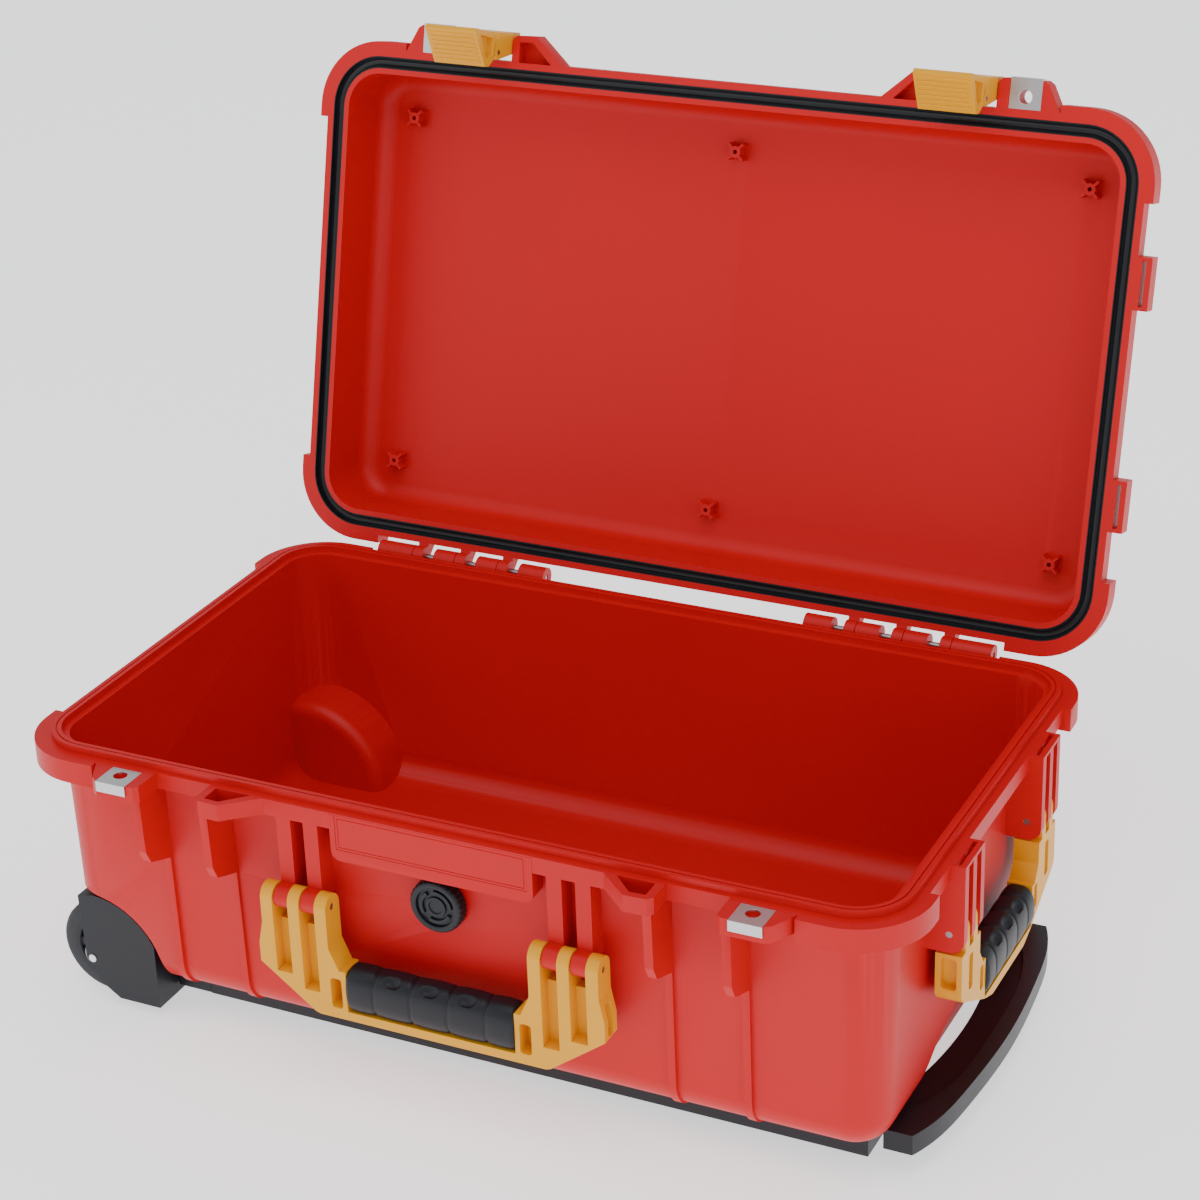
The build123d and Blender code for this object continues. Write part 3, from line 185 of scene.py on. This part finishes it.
# %% [markdown]
# ## Rubber and metal
# The seal and the tyres are soft and dull, with a faint dusty bloom. The padlock plates are
# satin stainless steel with a brushed grain, the pins are turned, and the tubes are anodised.

# %% Rubber with a dusty bloom
def rubber(name, colour, dust, rough):
    """Dull rubber whose bloom lightens it and roughens it in the same places."""
    finish = Finish(name, Specular_IOR_Level=0.4)
    bloom = finish.noise(40, detail=4, roughness=0.65)
    fine = finish.noise(1400, detail=1)
    return finish.feed(
        Base_Color=finish.blend(bloom * 0.5, colour, dust),
        Roughness=bloom * 0.2 + (rough - 0.1),
        Normal=finish.bump(fine, 0.00008, 0.5),
    )


seal_black = rubber("seal rubber", (0.006, 0.007, 0.010), (0.02, 0.022, 0.026), 0.42)
tyre_black = rubber("tyre rubber", (0.016, 0.018, 0.022), (0.05, 0.05, 0.055), 0.62)

# %% Metal with a grain along one axis
def metal(name, colour, worn, rough, along):
    """along stretches the grain: a small number on the axis that the brushing follows."""
    finish = Finish(name, Metallic=1.0)
    grain = finish.noise(1, detail=3, roughness=0.7, place=finish.stretch(*along))
    cloud = finish.noise(120, detail=3)
    return finish.feed(
        Base_Color=finish.blend(cloud * 0.6 + grain * 0.4, colour, worn),
        Roughness=grain * 0.22 + (rough - 0.1),
        Normal=finish.bump(grain, 0.00003, 0.5),
    )


plate_steel = metal("plate steel", (0.52, 0.52, 0.53), (0.68, 0.68, 0.69), 0.32, (120, 4000, 4000))
pin_steel = metal("pin steel", (0.28, 0.29, 0.3), (0.42, 0.42, 0.43), 0.35, (300, 3000, 3000))
axle_steel = metal("axle steel", (0.7, 0.7, 0.71), (0.8, 0.8, 0.8), 0.3, (3000, 300, 3000))
tube_grey = metal("anodised tube", (0.45, 0.46, 0.48), (0.52, 0.53, 0.55), 0.38, (60, 3000, 3000))
print("rubber and metal ready")

# %% [markdown]
# ## Giving each node its finish
# A node that keeps its solid shape only needs its material slots filled. The rules go by name, so
# that a new pin or tube is dressed without a new line.

# %% Finish by name
def finish_of(name):
    """The finish of a node, by its name."""
    if name in ("base_shell", "lid_shell", "label_plate") or name.startswith("base_ear"):
        return shell_red
    if name in ("front_handle", "side_handle") or name.endswith(("_hook", "_lever")):
        return handle_yellow
    if name.endswith("_grip") or name == "pull_handle_trigger":
        return grip_black
    if name.endswith("_seal"):
        return seal_black
    if name.endswith("_tyre"):
        return tyre_black
    if name.startswith("padlock_plate"):
        return plate_steel
    if name.endswith("_axle"):
        return axle_steel
    if name.endswith("_pin") or "_pin_" in name or name == "tray_screws":
        return pin_steel
    if "tube" in name:
        return tube_grey
    if name.endswith(("_bushing", "_spacers")):
        return bearing_grey
    return trim_black


def paint(obj, material):
    """Gives an object one material in place of any it had."""
    obj.data.materials.clear()
    obj.data.materials.append(material)


for name, node in nodes.items():
    paint(node, finish_of(name))
print("painted", len(nodes), "nodes")

# %% [markdown]
# ## Softening the moulded edges
# No moulded edge is sharp, and a thin highlight along each edge is what makes plastic look like
# plastic. A copy of each larger solid is welded, its flat faces are joined again, and a Bevel
# modifier rounds every edge that turns more than a set angle.

# %% A welded copy with rounded edges
body_of_node = {
    node: body for body, members in frame["record"]["behaviour"]["bodies"].items() for node in members
}


solid_weld = 0.004 * MM
flat_angle = 0.6            # degrees; faces that turn less than this are joined


def keep(mesh, name, node, angle):
    """Turns a bmesh into a smooth piece with the body and finish of its node."""
    for face in mesh.faces:
        face.smooth = True
    data = bpy.data.meshes.new(name)
    mesh.to_mesh(data)
    mesh.free()
    data.set_sharp_from_angle(angle=math.radians(angle))
    data.materials.append(finish_of(node))
    piece = bpy.data.objects.new(name, data)
    bpy.context.scene.collection.objects.link(piece)
    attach(piece, body_of_node[node])
    return piece


def softened(name, width, segments=2, angle=32):
    """A stand-in for a node with its sharp edges rounded by width millimetres."""
    mesh = bmesh.new()
    mesh.from_mesh(nodes[name].data)
    bmesh.ops.remove_doubles(mesh, verts=mesh.verts, dist=solid_weld)
    bmesh.ops.dissolve_limit(
        mesh, angle_limit=math.radians(flat_angle), verts=mesh.verts, edges=mesh.edges
    )
    skin = keep(mesh, name + "_skin", name, angle)
    bevel = skin.modifiers.new("rounded edges", "BEVEL")
    bevel.width = width * MM
    bevel.segments = segments
    bevel.limit_method = "ANGLE"
    bevel.angle_limit = math.radians(angle)
    bevel.use_clamp_overlap = True
    bevel.harden_normals = True
    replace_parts(skin, name)


edge_widths = {
    "base_shell": 0.9, "lid_shell": 0.9, "base_ear_left": 0.5, "base_ear_right": 0.5,
    "front_handle": 1.1, "side_handle": 1.0, "pull_handle": 1.2,
    "wheel_front_housing": 1.2, "wheel_back_housing": 1.2,
    "undercarriage_frame": 0.8, "undercarriage_tray": 0.8,
}
for name in nodes:
    if name.startswith("latch") and name.endswith(("_hook", "_lever")):
        edge_widths[name] = 0.7
    if name.startswith("padlock_plate"):
        edge_widths[name] = 0.15
for name, width in edge_widths.items():
    softened(name, width)
print("softened", len(edge_widths), "pieces")

# %% [markdown]
# ## Surfaces wrapped from a grid
# The grips, the valve cap, the tyres and the hubs are round or nearly so, with small details laid
# out along and around them. Each starts as a flat grid whose corners are then sent to their place
# by a short formula, so that a groove or a dimple is one more term.

# %% A grid wrapped over a formula
grid_weld = 0.002 * MM


def finished(mesh, name, node, angle=30):
    """Keeps a mesh that was made here, with its faces turned outwards first."""
    bmesh.ops.recalc_face_normals(mesh, faces=mesh.faces)
    return keep(mesh, name, node, angle)


def wrapped(name, node, columns, rows, place, angle=30):
    """A closed grid that stands for a node; place(turn, row) gives a corner in millimetres."""
    mesh = bmesh.new()
    bmesh.ops.create_grid(mesh, x_segments=columns, y_segments=rows, size=0.5)
    for vert in mesh.verts:
        turn = 2 * math.pi * (vert.co.x + 0.5)
        row = round((vert.co.y + 0.5) * rows)
        vert.co = Vector(place(turn, row)) * MM
    bmesh.ops.remove_doubles(mesh, verts=mesh.verts, dist=grid_weld)
    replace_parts(finished(mesh, name, node, angle), node)


def node_box(name):
    """The low and high corner of a node, in millimetres."""
    corners = [nodes[name].matrix_world @ v.co / MM for v in nodes[name].data.vertices]
    low = Vector([min(c[k] for c in corners) for k in range(3)])
    high = Vector([max(c[k] for c in corners) for k in range(3)])
    return low, high


for name in ("front_handle_grip", "valve_body"):
    print(name, [tuple(round(v, 1) for v in corner) for corner in node_box(name)])

# %% [markdown]
# ## The overmoulded grips
# Each grip is a fat rubber sleeve over the bar. Shallow rings divide it, every part swells a
# little between its rings, and three oval dimples lie along the upper outer side.

# %% Sleeves with rings and dimples
fuller_across = 1.3         # how far the sleeve goes beyond its solid, each way
fuller_upright = 0.4
squareness = 0.78           # 1 is an ellipse, less is boxier
swell = 0.035               # this and the depths below are shares of the sleeve's size
ring_depth = 0.065
ring_reach = 0.8            # half width of a ring, along the sleeve
dimple_depth = 0.17
dimple_reach = 5.6          # half length of a dimple, along the sleeve
dimple_turn = 0.95          # where the dimples lie around the sleeve, in radians
dimple_spread = 0.34        # their half width, in radians
rounded_end = [(0, 0.01), (0, 0.86), (0.3, 0.93), (1.0, 0.97)]    # way in from the end, size
straight_from = 1.4


def grip(name, along, outwards, rings, dimples):
    """along is the axis of the sleeve (0 or 1); outwards is +1 or -1 across it."""
    low, high = node_box(name)
    centre = (low + high) / 2
    half = (high[along] - low[along]) / 2
    across = 1 - along
    width = (high[across] - low[across]) / 2 + fuller_across
    height = (high.z - low.z) / 2 + fuller_upright
    steps = int(half * 4)
    stations = [(-half + way_in, size) for way_in, size in rounded_end]
    for step in range(1, steps):
        spot = -half + straight_from + 2 * (half - straight_from) * step / steps
        size = 1.0
        for ring in rings:
            size -= ring_depth * math.exp(-(((spot - ring) / ring_reach) ** 2))
        edges = (-half, *rings, half)
        for start, end in zip(edges, edges[1:]):
            if start < spot < end:
                size += swell * math.sin(math.pi * (spot - start) / (end - start))
        stations.append((spot, size))
    stations += [(half - way_in, size) for way_in, size in reversed(rounded_end)]

    def place(turn, row):
        spot, size = stations[row]
        side, rise = math.cos(turn), math.sin(turn)
        side = math.copysign(abs(side) ** squareness, side)
        rise = math.copysign(abs(rise) ** squareness, rise)
        for dimple in dimples:
            lengthwise = (spot - dimple) / dimple_reach
            sideways = (turn - dimple_turn) / dimple_spread
            inside = max(0.0, 1 - lengthwise**2 - sideways**2)
            size -= dimple_depth * inside**0.6
        point = Vector((0, 0, centre.z + height * size * rise))
        point[along] = centre[along] + spot
        point[across] = centre[across] + outwards * width * size * side
        return point

    wrapped(name + "_sleeve", name, 72, len(stations) - 1, place, angle=60)


grip("front_handle_grip", 0, -1, (-34.5, -11.5, 11.5, 34.5), (-23, 0, 23))
grip("side_handle_grip", 1, 1, (-27, -9, 9, 27), (-18, 0, 18))
print("two grips, each with four rings and three dimples")

# %% [markdown]
# ## The pressure valve
# A knob with a raised centre disc, a ring cut into three arcs, and a milled rim that a thumb can
# turn. The profile runs from the middle of the cap outwards, over the rim and down the stem.

# %% A turned cap with three arcs
valve_low, valve_high = node_box("valve_body")
valve_centre = (valve_low + valve_high) / 2
cap_radius = (valve_high.x - valve_low.x) / 2
valve_front = valve_low.y
stem_radius = 8.8
stem_end = valve_high.y - valve_front
gap_share = 0.22            # share of each third that is cut away between two arcs
gap_start = 0.2
knurls = 30
knurl_depth = 0.35
# radius, depth behind the front, and how much deeper the gaps between the arcs are
valve_profile = [
    (0.01, 1.5, 0), (3.9, 1.5, 0), (4.2, 0.8, 0), (6.0, 0.8, 0), (6.3, 1.9, 0), (7.6, 1.9, 0),
    (7.9, 0.5, 1.4), (9.9, 0.5, 1.4), (10.2, 1.9, 0), (11.4, 1.9, 0), (11.8, 0.3, 0),
    (12.4, 0.0, 0), (14.0, 0.0, 0), (14.8, 0.3, 0), (cap_radius - 0.3, 1.2, 0),
    (cap_radius, 2.0, 0), (cap_radius, 7.0, 0), (stem_radius, 7.0, 0),
    (stem_radius, stem_end, 0), (0.01, stem_end, 0),
]


def valve_point(turn, row):
    """A corner of the cap, with gaps between the arcs and a milled edge."""
    radius, depth, drop = valve_profile[row]
    third = (turn / (2 * math.pi) * 3 + gap_start) % 1
    if third < gap_share:
        depth += drop
    if radius > cap_radius - 1:
        radius -= knurl_depth * (0.5 + 0.5 * math.cos(knurls * turn))
    return (
        valve_centre.x + radius * math.cos(turn),
        valve_front + depth,
        valve_high.z - cap_radius + radius * math.sin(turn),
    )


wrapped("valve_knob", "valve_body", 180, len(valve_profile) - 1, valve_point)
print("valve profile with", len(valve_profile), "rings")

# %% [markdown]
# ## Tyres and hubs
# The tread is slightly crowned with a groove near each shoulder, and the hub has six spokes
# between its rim and its bearing seat.

# %% Tyre and hub profiles around the axle
tyre_bore = 21.02
hub_bore = 8.02
spokes = 6
web_start = 11.0            # between the spokes the hub is let in, from here to web_end
web_end = 17.0
web_depth = 0.36            # how far, as a share of the distance from the hub's middle
spoke_edge = 0.78           # higher makes the spokes narrower
spoke_flank = 6             # higher makes their sides steeper


def tyre_profile(radius, half):
    """(radius, place along the axle) from the inner edge to the middle of the tread."""
    return [
        (tyre_bore, -half), (radius - 4.2, -half), (radius - 2.2, -half + 0.6),
        (radius - 0.8, -half + 1.9), (radius - 0.25, -half + 3.2), (radius - 0.2, -half + 3.9),
        (radius - 0.9, -half + 4.2), (radius - 0.9, -half + 4.8), (radius - 0.1, -half + 5.1),
        (radius, -1.2),
    ]


def hub_profile(radius, half):
    """The same for the hub, from its bearing seat over the web to its rim."""
    return [
        (hub_bore, -half), (10.2, -half), (10.6, -half + 0.5), (web_start, -half + 1.4),
        (web_end, -half + 1.4), (17.6, -half + 0.6), (18.2, -half), (radius, -half),
    ]


def turned(node, half_profile, spoked=False):
    """A wheel piece turned around the axle from one half of its profile."""
    low, high = node_box(node)
    centre = (low + high) / 2
    first_half = half_profile((high.z - low.z) / 2, (high.y - low.y) / 2)
    profile = first_half + [(r, -y) for r, y in reversed(first_half)] + first_half[:1]

    def place(turn, row):
        r, y = profile[row]
        if spoked and web_start <= r <= web_end:
            spoke = 0.5 + 0.5 * math.cos(spokes * turn)
            y *= 1 - web_depth * min(1.0, max(0.0, (spoke_edge - spoke) * spoke_flank))
        return (centre.x + r * math.cos(turn), centre.y + y, centre.z + r * math.sin(turn))

    wrapped(node + "_turned", node, 120, len(profile) - 1, place)


for side in ("front", "back"):
    turned(f"wheel_{side}_tyre", tyre_profile)
    turned(f"wheel_{side}_hub", hub_profile, spoked=True)
print("two tyres and two hubs")

# %% [markdown]
# ## Ribs on the latch levers
# A finger pulls each lever by its lower face, which has fine raised ribs. They are small bars with
# rounded edges, laid out in the closed lid's own coordinates and then swung open with the lid.

# %% Rounded bars on the sloping face
hinge = next(j for j in frame["record"]["behaviour"]["joints"] if j["name"] == "lid_hinge")
hinge_y, hinge_z = (value / MM for value in hinge["pos_m"][1:])
lid_angle = -math.radians(hinge["range_deg"][1])
rim_z = 176.0


def opened(x, y, above_rim):
    """A point of the closed lid, carried to where it is on the open one, in millimetres."""
    dy, dz = y - hinge_y, above_rim + rim_z - hinge_z
    return Vector(
        (
            x,
            hinge_y + dy * math.cos(lid_angle) - dz * math.sin(lid_angle),
            hinge_z + dy * math.sin(lid_angle) + dz * math.cos(lid_angle),
        )
    )


latch_centres = {"left": -155.9, "right": 155.9}
face_start = (-151.5, -33.5)    # the lever's lower face, as Y and height above the rim
face_end = (-172.5, -48.5)
face_run = math.dist(face_start, face_end)
rib_count = 7
rib_length, rib_width, rib_height, rib_rounding = 30.4, 1.6, 1.4, 0.5
first_rib, rib_pitch = 0.13, 0.125    # shares of the face's run

sideways = Vector((1, 0, 0))
run = (opened(0, *face_end) - opened(0, *face_start)).normalized()
outward = run.cross(sideways)
rib_sizes = (sideways * rib_length * MM, run * rib_width * MM, outward * rib_height * MM)
turn = Matrix(rib_sizes).transposed().to_4x4()
for side, centre_x in latch_centres.items():
    ribs = bmesh.new()
    for count in range(rib_count):
        share = first_rib + rib_pitch * count
        middle = opened(centre_x, *face_start) + run * (face_run * share)
        bmesh.ops.create_cube(ribs, size=1, matrix=Matrix.Translation(middle * MM) @ turn)
    bmesh.ops.bevel(
        ribs, geom=ribs.edges[:], offset=rib_rounding * MM, offset_type="OFFSET", segments=3,
        profile=0.5, affect="EDGES", material=-1,
    )
    finished(ribs, f"latch_{side}_ribs", f"latch_{side}_lever", angle=50)
print(rib_count, "ribs on each lever")

# %% [markdown]
# ## The seal
# A soft strip in the lid's channel with two fine ridges that the tub's tongue would press on. It
# is drawn as a rounded rectangle in the lid's own plane, whose section is pulled round it.

# %% A ridged strip around the lid
opening_half_x, opening_half_y = 251.0, 139.5
opening_corner = 22.0


def seal_strip(corner_steps, section):
    """The rounded rectangle is walked once; section lists (reach beyond the opening, height)."""
    walk = []
    for quarter in range(4):
        for step in range(corner_steps + 1):
            walk.append((quarter, math.pi / 2 * (quarter + step / corner_steps)))
    mesh = bmesh.new()
    bmesh.ops.create_grid(mesh, x_segments=len(walk), y_segments=len(section), size=0.5)
    for vert in mesh.verts:
        quarter, turn = walk[round((vert.co.x + 0.5) * len(walk)) % len(walk)]
        reach, height = section[round((vert.co.y + 0.5) * len(section)) % len(section)]
        arc_x = (opening_half_x - opening_corner) * (1 if quarter in (0, 3) else -1)
        arc_y = (opening_half_y - opening_corner) * (1 if quarter in (0, 1) else -1)
        radius = opening_corner + reach
        vert.co = MM * opened(
            arc_x + radius * math.cos(turn), arc_y + radius * math.sin(turn), height
        )
    bmesh.ops.remove_doubles(mesh, verts=mesh.verts, dist=grid_weld)
    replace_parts(finished(mesh, "lid_seal_ridged", "lid_seal", angle=50), "lid_seal")


seal_section = [
    (3.3, 8.0), (3.3, 0.4), (3.8, 0.4), (3.8, 4.4), (5.2, 4.4), (5.6, 4.1), (6.0, 4.4),
    (8.1, 4.4), (8.5, 4.1), (8.9, 4.4), (10.3, 4.4), (10.3, 0.4), (10.8, 0.4), (10.8, 8.0),
]
seal_strip(10, seal_section)
print("seal section with", len(seal_section), "corners")

# %% [markdown]
# ## The plain name plate
# A thin plate with a fine line let in a little way inside its edge, and nothing written on it.

# %% A plate with an inset line
low, high = node_box("label_plate")
plate = bmesh.new()
size = high - low
turn = Matrix.Diagonal((*(size * MM), 1))
bmesh.ops.create_cube(plate, size=1, matrix=Matrix.Translation((low + high) / 2 * MM) @ turn)
front = [min(plate.faces, key=lambda f: f.calc_center_median().y)]
border, groove_wall, groove_floor, groove_depth = 1.2, 0.25, 0.3, 0.35
insets = (
    (border, 0), (groove_wall, -groove_depth), (groove_floor, 0), (groove_wall, groove_depth),
)
for width, rise in insets:
    bmesh.ops.inset_region(
        plate, faces=front, thickness=width * MM, depth=rise * MM, use_even_offset=True
    )
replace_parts(finished(plate, "name_plate", "label_plate", angle=25), "label_plate")
print("name plate", [round(v, 1) for v in size])

# %% [markdown]
# ## Floor, light and camera
# The case stands on a seamless pale floor that glows a little. Three large soft lights, one above
# and one from each side of the front, and a pale sky keep the shadows faint. A long lens, about a
# metre above the floor and well back, keeps the near corner from swelling.

# %% A seamless floor
def plain(name, colour, rough):
    """A finish with almost nothing in it."""
    finish = Finish(name)
    cloud = finish.noise(1.5, detail=2)
    return finish.feed(
        Base_Color=finish.blend(cloud, colour, tuple(0.99 * c for c in colour)),
        Roughness=cloud * 0.05 + rough,
    )


ground = bmesh.new()
bmesh.ops.create_grid(ground, x_segments=1, y_segments=1, size=12)
floor_mesh = bpy.data.meshes.new("floor")
ground.to_mesh(floor_mesh)
ground.free()
floor_white = plain("floor white", (0.93, 0.935, 0.945), 0.6)
floor_glow = floor_white.node_tree.nodes["Principled BSDF"].inputs
floor_glow["Emission Color"].default_value = (0.97, 0.98, 1.0, 1)
floor_glow["Emission Strength"].default_value = 1.0
floor_mesh.materials.append(floor_white)
floor = bpy.data.objects.new("floor", floor_mesh)
bpy.context.scene.collection.objects.link(floor)

world = bpy.data.worlds.new("pale studio")
bpy.context.scene.world = world
world.use_nodes = True
world.node_tree.nodes["Background"].inputs["Color"].default_value = (0.97, 0.98, 1.0, 1)
world.node_tree.nodes["Background"].inputs["Strength"].default_value = 0.74


def soft_light(name, place, target, size, power):
    """A square area light that faces its target."""
    light = bpy.data.lights.new(name, "AREA")
    light.size = size
    light.energy = power
    lamp = bpy.data.objects.new(name, light)
    lamp.location = place
    lamp.rotation_euler = (Vector(target) - Vector(place)).to_track_quat("-Z", "Y").to_euler()
    bpy.context.scene.collection.objects.link(lamp)


middle = (0, 0, 0.2)
soft_light("overhead", (0.2, -0.6, 2.2), middle, 1.6, 15)
soft_light("left front", (-1.9, -1.6, 1.2), middle, 1.2, 7)
soft_light("right front", (2.1, -1.3, 1.0), middle, 1.2, 5)

# %% The camera
camera_place = Vector((0.6973, -1.3366, 0.9565))
azimuth = math.radians(26.53)
elevation = math.radians(25.276)
roll = math.radians(-2.065)
back = Vector(
    (
        math.sin(azimuth) * math.cos(elevation),
        -math.cos(azimuth) * math.cos(elevation),
        math.sin(elevation),
    )
)
right = Vector((math.cos(azimuth), math.sin(azimuth), 0))
up = back.cross(right)
camera_x = right * math.cos(roll) + up * math.sin(roll)
camera_y = up * math.cos(roll) - right * math.sin(roll)

camera_data = bpy.data.cameras.new("camera")
camera_data.sensor_width = 36
camera_data.lens = 88.68
camera = bpy.data.objects.new("camera", camera_data)
turn = Matrix((camera_x, camera_y, back)).transposed()
camera.matrix_world = Matrix.Translation(camera_place) @ turn.to_4x4()
bpy.context.scene.collection.objects.link(camera)
bpy.context.scene.camera = camera
print("camera", [round(v, 3) for v in camera_place])
